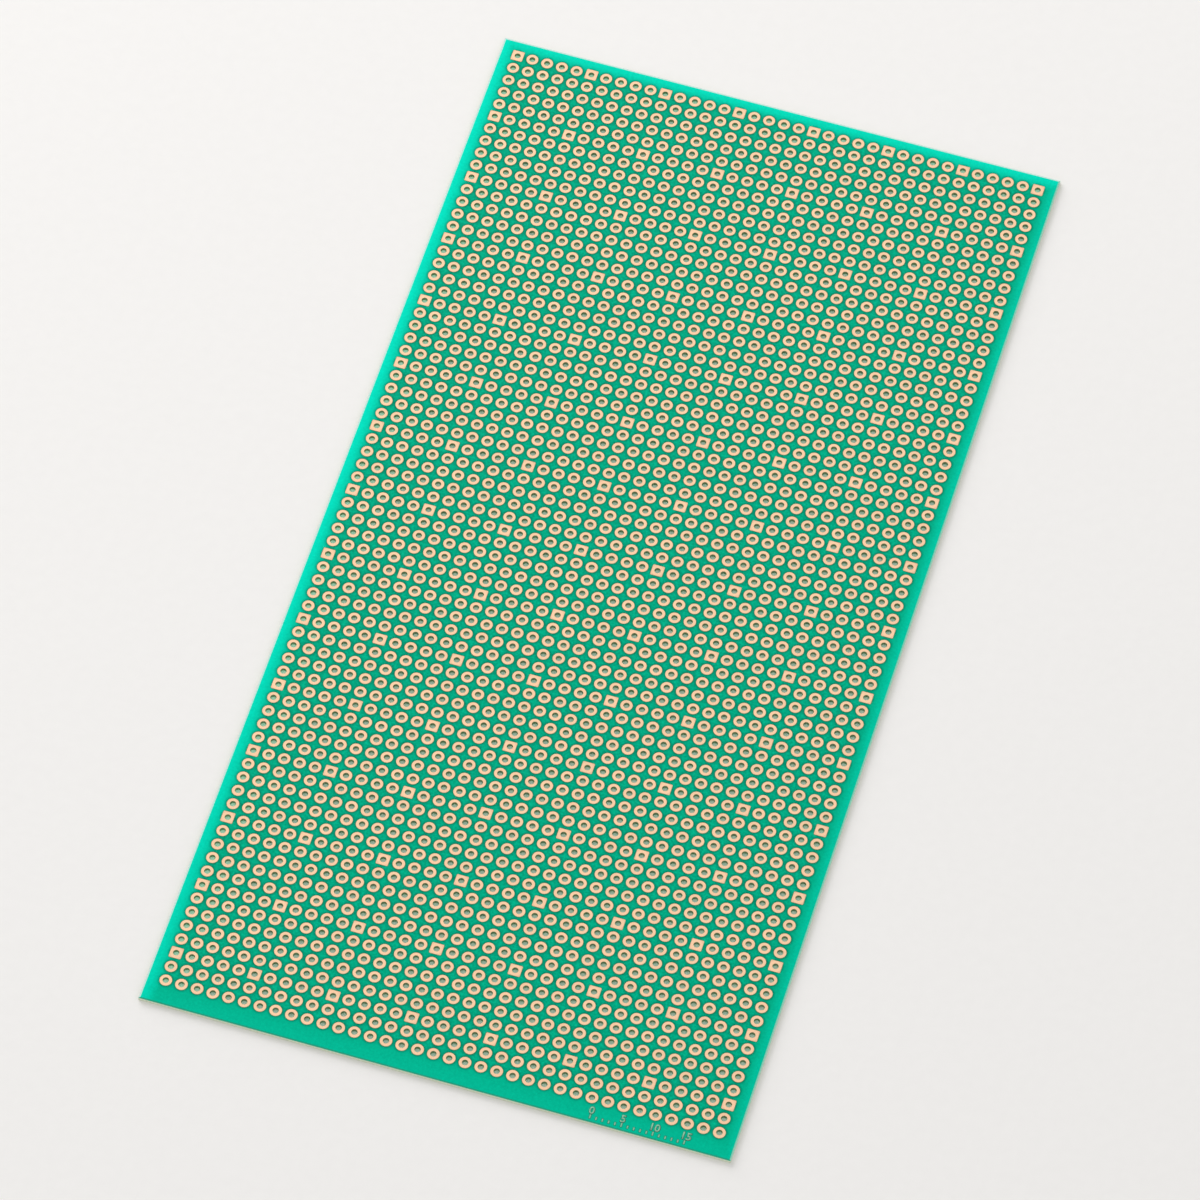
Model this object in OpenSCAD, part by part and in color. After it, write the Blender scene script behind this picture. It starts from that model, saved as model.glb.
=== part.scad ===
// Single-sided perfboard: a thin drilled laminate with a copper pad round every
// hole on its top face, and a green solder resist film between the pads.
//
// Frame: +Z up through the pad side, +X along the rows of holes, +Y along the
// columns of holes. The origin is the centre of the underside.

/* [Board] */
// Width of the laminate, along the rows of holes
board_width = 95; // [20:0.1:120]
// Length of the laminate, along the columns of holes
board_length = 190; // [40:0.1:230]
// Thickness of the bare laminate
laminate_thickness = 0.6; // [0.4:0.1:1.6]

/* [Holes] */
// Distance between neighbouring holes, both ways
pitch = 2.54; // [2.3:0.01:5.08]
// Drilled diameter, through the laminate and the pads
hole_diameter = 1; // [0.5:0.05:1.4]
// From the far edge of the board to the middle of the first row
first_row_margin = 2.9; // [1.75:0.05:4.5]
// Least distance from the middle of a hole to the other three edges
edge_margin = 2.9; // [1.5:0.05:6]

/* [Pads] */
// Diameter of a round pad
pad_diameter = 1.95; // [1.6:0.05:2.3]
// Side of a square marker pad
marker_side = 1.95; // [1.6:0.05:2.3]
// Rounding of a marker pad's corners
marker_corner = 0.2; // [0.05:0.01:0.3]
// A marker pad replaces the round one at every so many holes, both ways
marker_step = 5; // [2:1:10]
// Thickness of the copper foil
copper_thickness = 0.035; // [0.018:0.001:0.105]

/* [Solder resist] */
// Thickness of the resist film
resist_thickness = 0.025; // [0.01:0.005:0.06]
// Ring of bare laminate between a pad and the resist
resist_clearance = 0.06; // [0.03:0.01:0.15]
// Bare border between the resist and the edge of the board
resist_setback = 0.25; // [0.05:0.05:0.8]

/* [Hidden] */
$fn = 32;

// A sheet is joined from bands of about this many rows of holes. The seams
// between them lie a thousandth of a millimetre lower, so the flat faces of a
// band stay its own, and a sheet with thousands of holes is still one solid
// that is quick to mesh and check.
band_rows = 9;
seam_width = 0.02;
seam_depth = 0.001;

// The grid takes as many holes each way as the board has room for.
columns = floor((board_width - 2 * edge_margin) / pitch) + 1;
rows = floor((board_length - first_row_margin - edge_margin) / pitch) + 1;

first_column_x = -pitch * (columns - 1) / 2;
first_row_y = board_length / 2 - first_row_margin;

laminate_colour = "#c9cfa8";
copper_colour = "#f3b083";
resist_colour = "#00a884";

function column_x(column) = first_column_x + column * pitch;
function row_y(row) = first_row_y - row * pitch;
function is_marker(column, row) = column % marker_step == 0 && row % marker_step == 0;

// Copies a flat shape to the holes of one row, whose middle line is y = 0.
module at_row(row, marker) {
    for (column = [0 : columns - 1])
        if (is_marker(column, row) == marker)
            translate([column_x(column), 0])
                children();
}

module hole_shape() {
    circle(d = hole_diameter);
}

module round_pad_shape(grow) {
    circle(d = pad_diameter + 2 * grow);
}

// A square with its corners rounded by true arcs.
module marker_pad_shape(grow) {
    side = marker_side + 2 * grow;
    radius = marker_corner + grow;
    square([side, side - 2 * radius], center = true);
    square([side - 2 * radius, side], center = true);
    for (x = [-1, 1], y = [-1, 1])
        translate([x * (side / 2 - radius), y * (side / 2 - radius)])
            circle(r = radius);
}

// The openings of one row: holes, or pads grown by the resist's clearance.
module row_openings(row, resist) {
    if (resist) {
        at_row(row, false) round_pad_shape(resist_clearance);
        at_row(row, true) marker_pad_shape(resist_clearance);
    } else {
        for (marker = [false, true])
            at_row(row, marker) hole_shape();
    }
}

// One band of a sheet, flat, from one row to another.
module band_shape(first, last, upper, lower, inset, resist) {
    difference() {
        translate([inset - board_width / 2, lower])
            square([board_width - 2 * inset, upper - lower]);
        for (row = [first : last])
            translate([0, row_y(row)])
                row_openings(row, resist);
    }
}

// The seam that joins two bands halfway between two rows, just below all their
// faces. It reaches half its width into each band, so that the joint doesn't
// hang on faces that only touch.
module seam(y, thickness, inset) {
    side = inset + seam_depth;
    translate([side - board_width / 2, y - seam_width, seam_depth])
        cube([board_width - 2 * side, 2 * seam_width, thickness - 2 * seam_depth]);
}

// A sheet with the openings of every row, joined from its bands.
module pierced_sheet(thickness, inset, resist) {
    bands = max(1, round(rows / band_rows));
    top = board_length / 2 - inset;
    for (band = [0 : bands - 1]) {
        first = floor(band * rows / bands);
        last = floor((band + 1) * rows / bands) - 1;
        seam_above = row_y(first) + pitch / 2;
        seam_below = row_y(last) - pitch / 2;
        upper = band == 0 ? top : seam_above - seam_width / 2;
        lower = band == bands - 1 ? -top : seam_below + seam_width / 2;
        linear_extrude(thickness)
            band_shape(first, last, upper, lower, inset, resist);
        if (band > 0) seam(seam_above, thickness, inset);
    }
}

// The foil pads of every row, each keeping the hole of the laminate below it.
module pads(marker) {
    translate([0, 0, laminate_thickness])
        linear_extrude(copper_thickness)
            for (row = [0 : rows - 1])
                translate([0, row_y(row)])
                    at_row(row, marker)
                        difference() {
                            children();
                            hole_shape();
                        }
}

module laminate() {
    color(laminate_colour)
        pierced_sheet(laminate_thickness, 0, false);
}

module round_pads() {
    color(copper_colour)
        pads(false) round_pad_shape(0);
}

module square_pads() {
    color(copper_colour)
        pads(true) marker_pad_shape(0);
}

module solder_resist() {
    color(resist_colour)
        translate([0, 0, laminate_thickness])
            pierced_sheet(resist_thickness, resist_setback, true);
}

laminate();
round_pads();
square_pads();
solder_resist();
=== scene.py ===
import math

import bmesh
import bpy
from mathutils import Matrix, Vector


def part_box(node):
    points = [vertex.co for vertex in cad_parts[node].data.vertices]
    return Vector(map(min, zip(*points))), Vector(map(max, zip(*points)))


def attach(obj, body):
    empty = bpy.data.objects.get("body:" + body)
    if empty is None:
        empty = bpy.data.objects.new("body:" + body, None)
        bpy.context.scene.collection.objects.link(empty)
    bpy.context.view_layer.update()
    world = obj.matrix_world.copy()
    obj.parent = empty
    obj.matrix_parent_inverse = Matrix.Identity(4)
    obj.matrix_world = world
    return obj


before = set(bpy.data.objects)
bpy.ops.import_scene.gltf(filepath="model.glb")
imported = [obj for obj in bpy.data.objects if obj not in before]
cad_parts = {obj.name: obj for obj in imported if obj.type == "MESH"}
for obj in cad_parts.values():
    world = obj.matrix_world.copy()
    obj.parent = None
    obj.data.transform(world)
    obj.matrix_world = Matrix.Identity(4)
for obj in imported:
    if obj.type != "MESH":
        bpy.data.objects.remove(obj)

bl_info = {
    "name": "Perfboard",
    "version": (1, 0, 0),
    "blender": (4, 5, 0),
    "location": "View3D > Sidebar > Perfboard",
    "description": "Finishes for a drilled prototyping board, its printed scale and a plain stage",
    "category": "Object",
}

MM = 0.001
# In millimetres: the glass cloth, how far a pad shades the resist, and the printed scale.
YARN_SPACING = 0.6
SHADE_REACH = 0.55
TICK_WIDTH = 0.14
SHORT_TICK, LONG_TICK = 0.42, 0.6
FIGURE_FOOT, FIGURE_HEIGHT = 0.8, 1.25
# In millimetres: how far the finish of a rim or a drilled wall reaches past its edge,
# and how far inside the sheet's outline the light on the paper starts.
RIM_REACH, HOLE_REACH, GLOW_SETBACK = 0.05, 0.1, 0.3
# Share of the light that a pad takes from the resist beside it.
SHADE_DEPTH = 0.4
# Glow of the cut edges, and of the paper under the sheet: everywhere, left and far.
CUT_EDGE_GLOW = 0.13
PAPER_GLOW, PAPER_GLOW_LEFT, PAPER_GLOW_FAR = 0.13, 0.3, 0.27
# A flat face's normal rises or falls by more than this, and a wall's by less.
FLAT = 0.5
# Every fifth tick is long and has a figure.
FIGURE_STEP = 5
# Height of a figure as a share of the font's size.
FIGURE_SHARE = 0.7

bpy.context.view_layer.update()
LAMINATE_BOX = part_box("laminate")
RESIST_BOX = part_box("solder_resist")


def linear(hex_colour):
    """Turns an sRGB hex colour into linear red, green, blue."""
    channels = [int(hex_colour[i : i + 2], 16) / 255 for i in (1, 3, 5)]
    return [c / 12.92 if c <= 0.04045 else ((c + 0.055) / 1.055) ** 2.4 for c in channels]


def opaque(colour):
    return (*colour, 1.0)


def length(name, description, millimetres):
    """A length property, given in millimetres and kept in metres."""
    return bpy.props.FloatProperty(
        name=name,
        description=description,
        default=millimetres * MM,
        min=0.0,
        unit="LENGTH",
        precision=5,
    )


def colour(name, description, hex_colour):
    return bpy.props.FloatVectorProperty(
        name=name,
        description=description,
        subtype="COLOR",
        size=3,
        min=0.0,
        max=1.0,
        default=linear(hex_colour),
    )


class PerfboardSizes(bpy.types.PropertyGroup):
    pitch: length("Hole pitch", "Distance between neighbouring holes", 2.54)
    columns: bpy.props.IntProperty(name="Columns", description="Holes in a row", default=36, min=1)
    rows: bpy.props.IntProperty(name="Rows", description="Rows of holes", default=73, min=1)
    first_row: length("First row margin", "Far edge of the board to the first row", 2.9)
    hole: length("Hole width", "Drilled diameter", 1.0)
    pad: length("Pad width", "Diameter of a round pad and side of a square one", 1.95)
    rim: length("Bare rim", "Laminate left bare between the resist and the board's edge", 0.25)
    scale_start: length("Scale start", "From the middle of the board to the scale's zero", 24.8)
    scale_step: length("Scale step", "Distance between the scale's ticks", 1.0)
    scale_ticks: bpy.props.IntProperty(
        name="Scale ticks", description="Steps on the scale", default=15, min=1
    )
    scale_edge: length("Scale edge", "From the near edge of the board to the foot of the scale", 0.7)
    ink: length("Ink thickness", "How far the printed ink stands on the resist", 0.012)


class PerfboardColours(bpy.types.PropertyGroup):
    resist: colour("Resist", "Green solder resist between the pads", "#00b088")
    # Painted light: the resist is drawn lighter near the edges, most at the left and far ones, for light
    # that comes back through the sheet.
    resist_clear: colour("Resist at the edge", "Resist where no copper lies near", "#00eac8")
    copper: colour("Copper", "Bare copper under its protective film", "#ffd2aa")
    # Painted light: the pale laminate is drawn paler still on the near and right cut edges, which face
    # away from the lamp.
    laminate: colour("Laminate", "Cut edge of the sheet on the near and right sides", "#ccd5bc")
    # Partly the greener cut edge, partly painted shade: the left and far cut edges, which face the lamp,
    # are drawn darker.
    laminate_lit: colour("Laminate in the light", "Cut edge on the left and far sides", "#94a888")
    # Painted shade: the drilled walls are drawn darker for the shade inside the holes.
    laminate_hole: colour("Drilled wall", "Wall of a hole, scorched by the drill", "#86a073")
    # Painted shade: the bare ring beside each pad is drawn dark for the shade in that narrow gap.
    laminate_ring: colour("Laminate ring", "Bare ring between a pad and the resist", "#33804f")
    laminate_back: colour("Laminate back", "Bare side, with the resist showing through", "#b9cf9f")
    back_ring: colour("Back ring", "Copper seen through the sheet from its bare side", "#c9b98c")
    rim_bright: colour("Rim in the light", "Bare rim on the left and far sides", "#d2eee6")
    rim_dim: colour("Rim in the shade", "Bare rim on the right side", "#8fd6be")
    rim_near: colour("Near rim", "Bare rim on the near side, green like the resist", "#12a684")
    ink: colour("Ink", "Printed scale", "#8fc4a4")
    # Painted shade: a dark line along the print.
    ink_shade: colour("Ink edge", "Resist darkened along the print", "#0a6f56")
    floor: colour("Floor", "Plain paper ground", "#f8f6f3")
    floor_lit: colour("Light through the sheet", "Green light on the paper below", "#4fe0a8")


def sizes():
    return bpy.context.scene.perfboard_sizes


def colours():
    return bpy.context.scene.perfboard_colours


# ---------------------------------------------------------------- node trees


def add(tree, kind, inputs=None, **settings):
    """Adds a node with its settings, and gives each input a value or a link."""
    node = tree.nodes.new(kind)
    for name, value in settings.items():
        setattr(node, name, value)
    for name, value in (inputs or {}).items():
        socket = node.inputs[name]
        if isinstance(value, bpy.types.NodeSocket):
            tree.links.new(value, socket)
        else:
            socket.default_value = value
    return node


def maths(tree, operation, *values):
    """One sum of the pattern work: numbers or sockets in, a socket out."""
    return add(tree, "ShaderNodeMath", dict(enumerate(values)), operation=operation).outputs[0]


def varied(tree, base, value, amount):
    """A number that a pattern raises by up to an amount."""
    return maths(tree, "ADD", base, maths(tree, "MULTIPLY", value, amount))


def noise(tree, in_mm, scale, detail, roughness):
    inputs = {"Vector": in_mm, "Scale": scale, "Detail": detail, "Roughness": roughness}
    return add(tree, "ShaderNodeTexNoise", inputs).outputs["Fac"]


def ramp(tree, value, low, high, to_low=0.0, to_high=1.0):
    """A smooth step from one value to another."""
    return add(
        tree,
        "ShaderNodeMapRange",
        {"Value": value, "From Min": low, "From Max": high, "To Min": to_low, "To Max": to_high},
        interpolation_type="SMOOTHSTEP",
        clamp=True,
    ).outputs["Result"]


def blend(tree, factor, first, second, mode="MIX"):
    node = add(tree, "ShaderNodeMix", data_type="RGBA", blend_type=mode)
    for socket, value in ((node.inputs[0], factor), (node.inputs[6], first), (node.inputs[7], second)):
        if isinstance(value, bpy.types.NodeSocket):
            tree.links.new(value, socket)
        else:
            socket.default_value = value
    return node.outputs[2]


def new_material(name):
    """A material with its shader, and a place on the piece in millimetres to draw from."""
    material = bpy.data.materials.new(name)
    material.use_nodes = True
    tree = material.node_tree
    tree.nodes.clear()
    output = add(tree, "ShaderNodeOutputMaterial")
    shader = add(tree, "ShaderNodeBsdfPrincipled")
    tree.links.new(shader.outputs["BSDF"], output.inputs["Surface"])
    place = add(tree, "ShaderNodeTexCoord").outputs["Object"]
    in_mm = add(
        tree,
        "ShaderNodeVectorMath",
        {0: place, "Scale": 1 / MM},
        operation="SCALE",
    ).outputs["Vector"]
    return material, tree, shader, in_mm


def surface(tree, shader, tone, rough, gloss):
    """Gives a shader its colour, roughness and strength of reflection."""
    tree.links.new(tone, shader.inputs["Base Color"])
    if isinstance(rough, bpy.types.NodeSocket):
        tree.links.new(rough, shader.inputs["Roughness"])
    else:
        shader.inputs["Roughness"].default_value = rough
    shader.inputs["Specular IOR Level"].default_value = gloss


def relief(tree, shader, height, strength, depth_mm):
    """A fine unevenness that only the light shows."""
    inputs = {"Height": height, "Strength": strength, "Distance": depth_mm * MM}
    bump = add(tree, "ShaderNodeBump", inputs)
    tree.links.new(bump.outputs["Normal"], shader.inputs["Normal"])


def pad_radius():
    """Half a pad's width, in millimetres."""
    return sizes().pad / 2 / MM


def nearest_hole(tree, in_mm):
    """Where a point lies from the nearest hole's middle, in millimetres: across, along, straight.

    Also the hole's column and row, and whether the point lies inside the grid each way.
    """
    size = sizes()
    pitch = size.pitch / MM
    axes = add(tree, "ShaderNodeSeparateXYZ", {"Vector": in_mm})
    left = -pitch * (size.columns - 1) / 2
    top = (LAMINATE_BOX[1].y - size.first_row) / MM
    offsets, cells, inside = [], [], []
    for value, start, sign, count in (
        (axes.outputs["X"], left, 1, size.columns),
        (axes.outputs["Y"], top, -1, size.rows),
    ):
        steps = maths(tree, "MULTIPLY", maths(tree, "SUBTRACT", value, start), sign / pitch)
        held = maths(tree, "MINIMUM", maths(tree, "MAXIMUM", steps, 0), count - 1)
        whole = maths(tree, "ROUND", held)
        cells.append(whole)
        offsets.append(maths(tree, "MULTIPLY", maths(tree, "SUBTRACT", steps, whole), pitch))
        inside.append(maths(tree, "COMPARE", steps, held, 0.0001))
    return (*offsets, reach(tree, *offsets), cells, inside)


def reach(tree, across, along):
    """The length of a flat vector."""
    squares = maths(
        tree, "ADD", maths(tree, "MULTIPLY", across, across), maths(tree, "MULTIPLY", along, along)
    )
    return maths(tree, "SQRT", squares)


def pad_shade(tree, in_mm):
    """1 in the open and less near copper: light spreads inside the sheet and the pads stop it."""
    pitch, edge = sizes().pitch / MM, pad_radius()
    across, along, straight, _, inside = nearest_hole(tree, in_mm)
    across, along = (maths(tree, "ABSOLUTE", value) for value in (across, along))
    beside = reach(tree, maths(tree, "SUBTRACT", pitch, across), along)
    ahead = reach(tree, across, maths(tree, "SUBTRACT", pitch, along))
    free = edge + SHADE_REACH
    shade = ramp(tree, straight, edge, free, 1.0 - SHADE_DEPTH, 1.0)
    # The next pads across and along shade the place too, where there are any.
    for distance, within in ((beside, inside[0]), (ahead, inside[1])):
        loss = ramp(tree, distance, edge, free, SHADE_DEPTH, 0.0)
        loss = maths(tree, "MULTIPLY", loss, within)
        shade = maths(tree, "MULTIPLY", shade, maths(tree, "SUBTRACT", 1.0, loss))
    return shade


def edge_glow(tree, in_mm):
    """How much light comes back through the sheet from each edge, most from the far left."""
    left, right, far, near = edge_distances(tree, in_mm)
    glow = None
    # From each edge: where the fall starts and ends in millimetres, and its strength.
    for distance, start, end, strength in (
        (left, 0.2, 3.6, 1.0),
        (far, 0.2, 3.4, 0.85),
        (right, 0.0, 2.4, 0.47),
        (near, 0.0, 6.5, 0.3),
    ):
        side = ramp(tree, distance, start, end, strength, 0.0)
        glow = side if glow is None else maths(tree, "MAXIMUM", glow, side)
    # It is weaker over the 120 mm towards the near end.
    return maths(tree, "MULTIPLY", glow, ramp(tree, near, 0.0, 120.0, 0.78, 1.0))


def shaded(tree, tone, shade):
    """A colour made lighter or darker by a number."""
    channels = {"Red": shade, "Green": shade, "Blue": shade}
    grey = add(tree, "ShaderNodeCombineColor", channels).outputs["Color"]
    return blend(tree, 1.0, tone, grey, "MULTIPLY")


def edge_distances(tree, in_mm):
    """Distances in millimetres from the board's left, right, far and near edges."""
    low, high = (corner / MM for corner in LAMINATE_BOX)
    axes = add(tree, "ShaderNodeSeparateXYZ", {"Vector": in_mm})
    x, y = axes.outputs["X"], axes.outputs["Y"]
    return (
        maths(tree, "SUBTRACT", x, low.x),
        maths(tree, "SUBTRACT", high.x, x),
        maths(tree, "SUBTRACT", high.y, y),
        maths(tree, "SUBTRACT", y, low.y),
    )


def weave(tree, in_mm):
    """Plain glass cloth: warp and weft as two crossed waves, 0 in the gaps and 1 on the yarns."""
    inputs = {
        "Vector": in_mm,
        # A wave of scale 1 has a period of pi / 10 in this texture.
        "Scale": math.pi / 10 / YARN_SPACING,
        "Distortion": 1.5,
        "Detail": 2.0,
        "Detail Scale": 1.5,
    }
    waves = [
        add(tree, "ShaderNodeTexWave", inputs, bands_direction=direction).outputs["Fac"]
        for direction in ("X", "Y")
    ]
    return maths(tree, "MULTIPLY", maths(tree, "ADD", *waves), 0.5)


def resist_material():
    """Epoxy solder resist, screen printed and cured: an even, slightly glossy green film."""
    material, tree, shader, in_mm = new_material("screen_printed_solder_resist")
    paint = colours()
    # Painted light: the resist turns lighter towards the edges, for light that comes back through the
    # sheet.
    tone = blend(tree, edge_glow(tree, in_mm), opaque(paint.resist), opaque(paint.resist_clear))
    tone = shaded(tree, tone, pad_shade(tree, in_mm))
    # Glass cloth under the film shows as a faint mottle with finer specks, whose
    # middle value is taken off.
    cloth = weave(tree, in_mm)
    specks = noise(tree, in_mm, 2.6, 3.0, 0.7)
    uneven = varied(tree, maths(tree, "SUBTRACT", specks, 0.52), cloth, 0.05)
    # It is stronger between the pads, where the film flowed round the copper.
    _, _, _, _, inside = nearest_hole(tree, in_mm)
    strength = varied(tree, 0.45, maths(tree, "MULTIPLY", *inside), 0.75)
    tone = shaded(tree, tone, varied(tree, 1.0, uneven, strength))
    surface(tree, shader, tone, varied(tree, 0.4, specks, 0.12), 0.08)
    # The pigment lies right under the surface and tints what little it reflects.
    shader.inputs["Specular Tint"].default_value = opaque(paint.resist)
    relief(tree, shader, cloth, 0.12, 0.01)
    return material


def copper_material():
    """Rolled copper foil, etched and dipped in a clear organic film: bare, matte and pinkish."""
    material, tree, shader, in_mm = new_material("etched_copper_foil")
    _, _, straight, cells, _ = nearest_hole(tree, in_mm)
    # Each pad takes the dip a little differently.
    cell = add(tree, "ShaderNodeCombineXYZ", {"X": cells[0], "Y": cells[1]}).outputs["Vector"]
    each = add(tree, "ShaderNodeTexWhiteNoise", {"Vector": cell}, noise_dimensions="3D").outputs["Value"]
    # Micro-etched grain is a few hundredths of a millimetre and is drawn at 0.12 mm to show.
    grain = noise(tree, in_mm, 8.0, 4.0, 0.65)
    shade = varied(tree, varied(tree, 0.93, each, 0.06), grain, 0.06)
    # The outer edge is drawn darker: the step ends just past a round pad's edge.
    edge = ramp(tree, straight, pad_radius() - 0.075, pad_radius() + 0.025, 1.0, 0.9)
    tone = shaded(tree, opaque(colours().copper), maths(tree, "MULTIPLY", shade, edge))
    surface(tree, shader, tone, varied(tree, 0.48, grain, 0.16), 0.5)
    # The matte film hides part of the foil's metallic reflection.
    shader.inputs["Metallic"].default_value = 0.4
    relief(tree, shader, grain, 0.15, 0.01)
    return material


def laminate_material():
    """Woven glass in epoxy, pressed, cut and drilled: a pale sheet that lets some light through."""
    material, tree, shader, in_mm = new_material("glass_epoxy_laminate")
    paint, size = colours(), sizes()
    _, _, straight, _, _ = nearest_hole(tree, in_mm)
    left, right, far, near = edge_distances(tree, in_mm)
    cloth = weave(tree, in_mm)
    normal = add(tree, "ShaderNodeTexCoord").outputs["Normal"]
    up = add(tree, "ShaderNodeSeparateXYZ", {"Vector": normal}).outputs["Z"]
    # Underside: the copper shows through as warm rings and the resist as green.
    rings = ramp(tree, straight, pad_radius() - 0.08, pad_radius() + 0.14, 1.0, 0.0)
    back = blend(tree, rings, opaque(paint.laminate_back), opaque(paint.back_ring))
    # Top: a rim along the edges, painted bright where it faces the light, and painted shade as a dark
    # ring beside each pad.
    lit_side = maths(tree, "MINIMUM", left, far)
    shaded_side = maths(tree, "MINIMUM", right, near)
    in_light = maths(tree, "LESS_THAN", lit_side, shaded_side)
    at_near = maths(tree, "LESS_THAN", near, right)
    dim = blend(tree, at_near, opaque(paint.rim_dim), opaque(paint.rim_near))
    rim = blend(tree, in_light, dim, opaque(paint.rim_bright))
    to_edge = maths(tree, "MINIMUM", lit_side, shaded_side)
    on_rim = maths(tree, "LESS_THAN", to_edge, size.rim / MM + RIM_REACH)
    front = blend(tree, on_rim, opaque(paint.laminate_ring), rim)
    # Walls: the holes are painted darker for the shade inside them, and the outer edge is cut clean,
    # painted darker on the sides in the light and lighter on the sides in shade.
    in_hole = maths(tree, "LESS_THAN", straight, size.hole / 2 / MM + HOLE_REACH)
    edge = blend(tree, in_light, opaque(paint.laminate), opaque(paint.laminate_lit))
    wall = blend(tree, in_hole, edge, opaque(paint.laminate_hole))
    tone = blend(tree, maths(tree, "GREATER_THAN", up, FLAT), wall, front)
    tone = blend(tree, maths(tree, "LESS_THAN", up, -FLAT), tone, back)
    tone = shaded(tree, tone, varied(tree, 0.92, cloth, 0.12))
    surface(tree, shader, tone, varied(tree, 0.38, cloth, 0.12), 0.3)
    # The near and right cut edges carry a little of the light that the sheet has taken in.
    flat = maths(tree, "GREATER_THAN", maths(tree, "ABSOLUTE", up), FLAT)
    bare = maths(tree, "MAXIMUM", flat, maths(tree, "MAXIMUM", in_hole, in_light))
    cut = maths(tree, "SUBTRACT", 1.0, bare)
    shader.inputs["Emission Color"].default_value = opaque(paint.laminate)
    glow = maths(tree, "MULTIPLY", cut, CUT_EDGE_GLOW)
    tree.links.new(glow, shader.inputs["Emission Strength"])
    relief(tree, shader, cloth, 0.25, 0.02)
    return material


def ink_material(name, tone):
    """Epoxy marking ink, screen printed: where it is thin, a quarter of the green shows through."""
    material, tree, shader, in_mm = new_material(name)
    speckle = noise(tree, in_mm, 6.0, 3.0, 0.6)
    thin = ramp(tree, speckle, 0.35, 0.6, 0.25, 0.0)
    tone = blend(tree, thin, opaque(tone), opaque(colours().resist))
    surface(tree, shader, tone, 0.55, 0.1)
    return material


def floor_material():
    """Smooth heavy paper: matte, with a faint felt texture."""
    material, tree, shader, in_mm = new_material("matte_white_paper")
    felt = noise(tree, in_mm, 0.5, 5.0, 0.55)
    paper = shaded(tree, opaque(colours().floor), ramp(tree, felt, 0.3, 0.7, 0.99, 1.0))
    surface(tree, shader, paper, 0.9, 0.1)
    # Light that passes through the sheet glows green on the paper below, most at the lit edges.
    left, right, far, near = edge_distances(tree, in_mm)
    sides = maths(tree, "MINIMUM", left, right)
    ends = maths(tree, "MINIMUM", far, near)
    under = maths(tree, "GREATER_THAN", maths(tree, "MINIMUM", sides, ends), GLOW_SETBACK)
    # It falls between these distances from each lit edge, in millimetres.
    lit_left = ramp(tree, left, 3.0, 12.0, PAPER_GLOW_LEFT, PAPER_GLOW)
    lit_far = ramp(tree, far, 3.0, 10.0, PAPER_GLOW_FAR, PAPER_GLOW)
    through = maths(tree, "MULTIPLY", maths(tree, "MAXIMUM", lit_left, lit_far), under)
    shader.inputs["Emission Color"].default_value = opaque(colours().floor_lit)
    tree.links.new(through, shader.inputs["Emission Strength"])
    relief(tree, shader, felt, 0.15, 0.2)
    return material


# -------------------------------------------------------------------- pieces


def dress(node_name, material):
    """Gives a CAD node its finish in every slot."""
    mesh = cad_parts[node_name].data
    mesh.materials.clear()
    mesh.materials.append(material)


def bar(bm, x, y, z, width, height, thickness):
    """A flat bar of ink, centred over x, with its foot at y."""
    made = bmesh.ops.create_cube(bm, size=1.0)["verts"]
    bmesh.ops.scale(bm, vec=(width, height, thickness), verts=made)
    bmesh.ops.translate(bm, vec=(x, y + height / 2, z + thickness / 2), verts=made)


def figure(bm, text, x, y, z, height, thickness, grow):
    """A number in ink, centred over x, with its foot at y and its strokes grown on each side."""
    curve = bpy.data.curves.new("figure", "FONT")
    curve.body = text
    curve.size = height / FIGURE_SHARE
    curve.offset = grow
    curve.align_x = "CENTER"
    curve.resolution_u = 3
    carrier = bpy.data.objects.new("figure", curve)
    mesh = bpy.data.meshes.new_from_object(carrier)
    flat = bmesh.new()
    flat.from_mesh(mesh)
    bmesh.ops.remove_doubles(flat, verts=flat.verts, dist=1e-7)
    grown = bmesh.ops.extrude_face_region(flat, geom=flat.faces[:])["geom"]
    tops = [v for v in grown if isinstance(v, bmesh.types.BMVert)]
    bmesh.ops.translate(flat, vec=(0, 0, thickness), verts=tops)
    bmesh.ops.recalc_face_normals(flat, faces=flat.faces[:])
    bmesh.ops.translate(flat, vec=(x, y, z), verts=flat.verts)
    flat.to_mesh(mesh)
    flat.free()
    bm.from_mesh(mesh)
    bpy.data.objects.remove(carrier)
    bpy.data.curves.remove(curve)
    bpy.data.meshes.remove(mesh)


def scale_mesh(name, material, grow, thickness):
    """The whole printed scale as one mesh: a tick each step, with a figure at every fifth."""
    size = sizes()
    z = RESIST_BOX[1].z
    foot = LAMINATE_BOX[0].y + size.scale_edge
    bm = bmesh.new()
    for tick in range(size.scale_ticks + 1):
        long = tick % FIGURE_STEP == 0
        x = size.scale_start + tick * size.scale_step
        height = (LONG_TICK if long else SHORT_TICK) * MM
        bar(bm, x, foot - grow, z, TICK_WIDTH * MM + 2 * grow, height + 2 * grow, thickness)
        if long:
            y = foot + FIGURE_FOOT * MM
            figure(bm, str(tick), x, y, z, FIGURE_HEIGHT * MM, thickness, grow)
    mesh = bpy.data.meshes.new(name)
    bm.to_mesh(mesh)
    bm.free()
    mesh.materials.append(material)
    return bpy.data.objects.new(name, mesh)


class PERFBOARD_OT_laminate(bpy.types.Operator):
    """Finish the drilled sheet as pale glass-epoxy laminate"""

    bl_idname = "perfboard.laminate"
    bl_label = "Finish laminate"

    def execute(self, context):
        dress("laminate", laminate_material())
        return {"FINISHED"}


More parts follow.
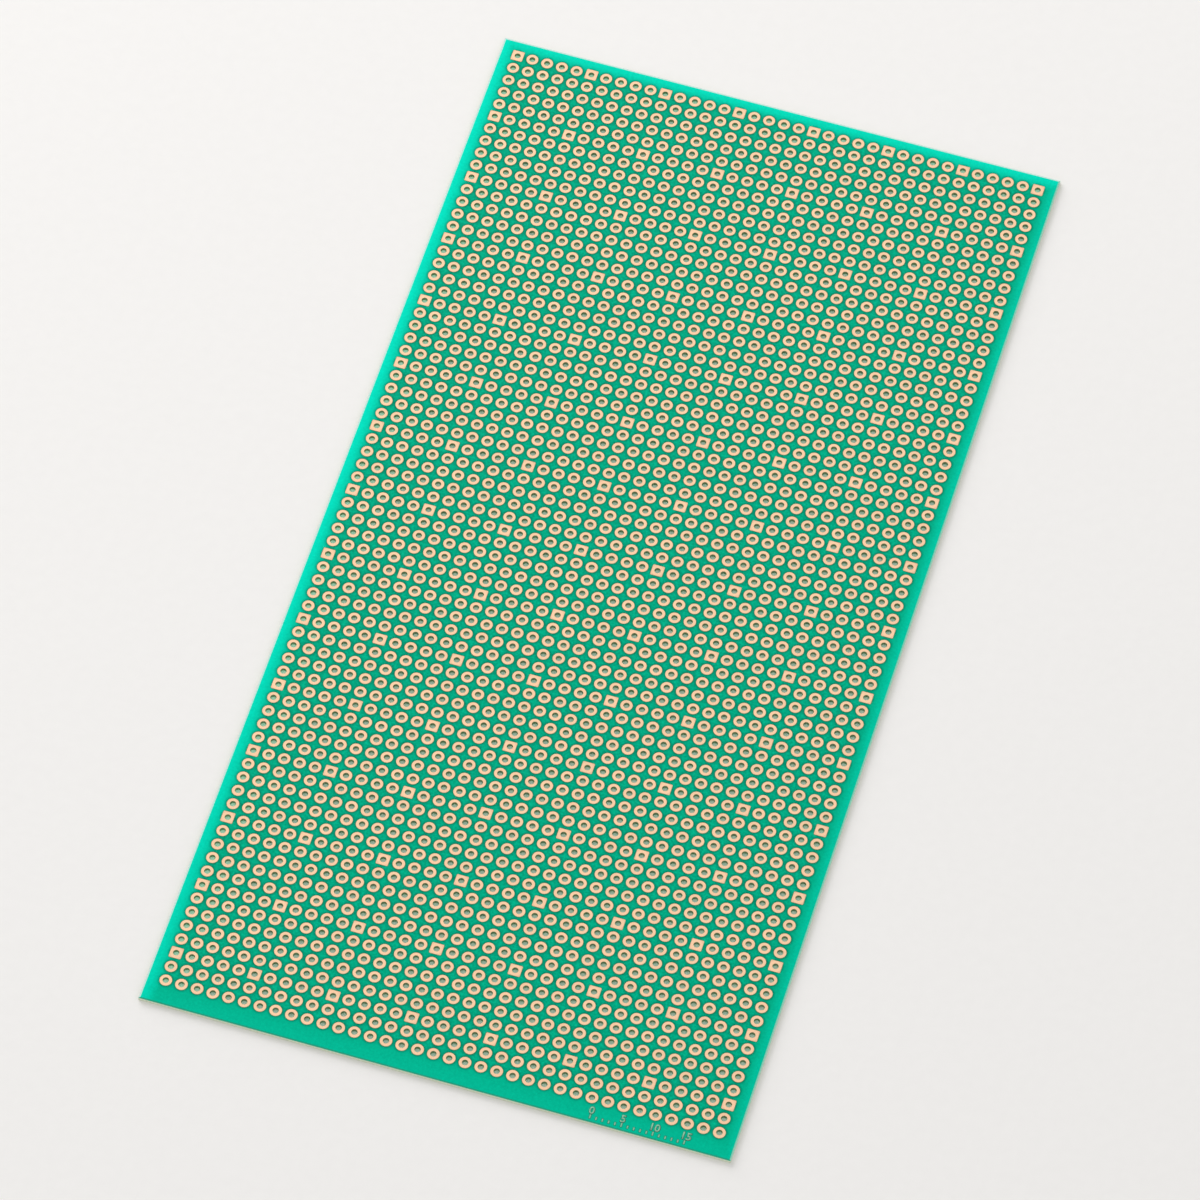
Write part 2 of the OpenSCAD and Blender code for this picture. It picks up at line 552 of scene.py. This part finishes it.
class PERFBOARD_OT_pads(bpy.types.Operator):
    """Finish the round and the square pads as bare copper foil"""

    bl_idname = "perfboard.pads"
    bl_label = "Finish pads"

    def execute(self, context):
        copper = copper_material()
        for name in ("round_pads", "square_pads"):
            dress(name, copper)
        return {"FINISHED"}


class PERFBOARD_OT_resist(bpy.types.Operator):
    """Finish the film between the pads as green solder resist"""

    bl_idname = "perfboard.resist"
    bl_label = "Finish solder resist"

    def execute(self, context):
        dress("solder_resist", resist_material())
        return {"FINISHED"}


class PERFBOARD_OT_scale(bpy.types.Operator):
    """Print a short plain scale, with ticks and figures, in the near margin"""

    bl_idname = "perfboard.scale"
    bl_label = "Print scale"

    def execute(self, context):
        ink, paint = sizes().ink, colours()
        # A thin dark line of painted shade runs round each stroke, so the print is laid in two layers.
        for name, finish, tone, grow, thickness in (
            ("printed_scale_edge", "painted_shade_round_marking_ink", paint.ink_shade, 0.12, ink / 2),
            ("printed_scale", "screen_printed_marking_ink", paint.ink, 0.04, ink),
        ):
            print_ = scale_mesh(name, ink_material(finish, tone), grow * MM, thickness)
            context.scene.collection.objects.link(print_)
            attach(print_, "root")
        return {"FINISHED"}


class PERFBOARD_OT_stage(bpy.types.Operator):
    """Set up the plain paper floor, the soft light and the camera"""

    bl_idname = "perfboard.stage"
    bl_label = "Set up stage"

    def execute(self, context):
        self.floor(context)
        self.light(context)
        self.camera(context)
        context.scene.view_settings.view_transform = "Standard"
        return {"FINISHED"}

    def floor(self, context):
        bm = bmesh.new()
        bmesh.ops.create_grid(bm, x_segments=2, y_segments=2, size=6.0)
        mesh = bpy.data.meshes.new("floor")
        bm.to_mesh(mesh)
        bm.free()
        mesh.materials.append(floor_material())
        floor = bpy.data.objects.new("floor", mesh)
        # A hair below the sheet, so that the two faces stay apart.
        floor.location.z = -0.02 * MM
        context.scene.collection.objects.link(floor)

    def light(self, context):
        # One wide soft lamp from the far left and an even pale sky.
        world = bpy.data.worlds.new("even_sky")
        world.use_nodes = True
        background = world.node_tree.nodes["Background"]
        background.inputs["Color"].default_value = opaque(linear("#fcfcfd"))
        background.inputs["Strength"].default_value = 0.7
        context.scene.world = world
        lamp = bpy.data.lights.new("window", "AREA")
        lamp.shape = "RECTANGLE"
        lamp.size, lamp.size_y = 1.4, 1.0
        lamp.energy = 17.5
        holder = bpy.data.objects.new("window", lamp)
        place = Vector((-0.95, 0.95, 0.55))
        holder.location = place
        holder.rotation_euler = (-place).to_track_quat("-Z", "Y").to_euler()
        context.scene.collection.objects.link(holder)

    def camera(self, context):
        # Looking down from the near right with a long lens, 8 degrees wide.
        lens = bpy.data.cameras.new("camera")
        lens.sensor_width = 36.0
        lens.lens = 258.255
        lens.clip_start, lens.clip_end = 0.05, 20.0
        camera = bpy.data.objects.new("camera", lens)
        size = sizes()
        grid_middle = LAMINATE_BOX[1].y - size.first_row - size.pitch * (size.rows - 1) / 2
        top = LAMINATE_BOX[1].z
        right = Vector((0.95651, 0.29128, 0.01562))
        up = Vector((-0.25528, 0.80999, 0.52796))
        back = Vector((0.14113, -0.50899, 0.84913))
        turn = Matrix((right, up, back)).transposed().to_4x4()
        # Its place is counted from the middle of the hole grid, on top of the sheet.
        place = Vector((191.54, -699.00, 1157.05)) * MM + Vector((0, grid_middle, top))
        camera.matrix_world = Matrix.Translation(place) @ turn
        context.scene.collection.objects.link(camera)
        context.scene.camera = camera


class PERFBOARD_PT_panel(bpy.types.Panel):
    """Sizes, colours and steps of the perfboard"""

    bl_label = "Perfboard"
    bl_idname = "PERFBOARD_PT_panel"
    bl_space_type = "VIEW_3D"
    bl_region_type = "UI"
    bl_category = "Perfboard"

    def draw(self, context):
        for group in (context.scene.perfboard_sizes, context.scene.perfboard_colours):
            box = self.layout.box()
            for name in group.__annotations__:
                box.prop(group, name)
        for step in STEPS:
            self.layout.operator(step.bl_idname)


STEPS = (
    PERFBOARD_OT_laminate,
    PERFBOARD_OT_pads,
    PERFBOARD_OT_resist,
    PERFBOARD_OT_scale,
    PERFBOARD_OT_stage,
)
CLASSES = (PerfboardSizes, PerfboardColours, *STEPS, PERFBOARD_PT_panel)


def register():
    for cls in CLASSES:
        bpy.utils.register_class(cls)
    bpy.types.Scene.perfboard_sizes = bpy.props.PointerProperty(type=PerfboardSizes)
    bpy.types.Scene.perfboard_colours = bpy.props.PointerProperty(type=PerfboardColours)


def unregister():
    del bpy.types.Scene.perfboard_colours
    del bpy.types.Scene.perfboard_sizes
    for cls in reversed(CLASSES):
        bpy.utils.unregister_class(cls)


def main():
    register()
    for step in (
        bpy.ops.perfboard.laminate,
        bpy.ops.perfboard.pads,
        bpy.ops.perfboard.resist,
        bpy.ops.perfboard.scale,
        bpy.ops.perfboard.stage,
    ):
        step()


if __name__ == "__main__":
    main()
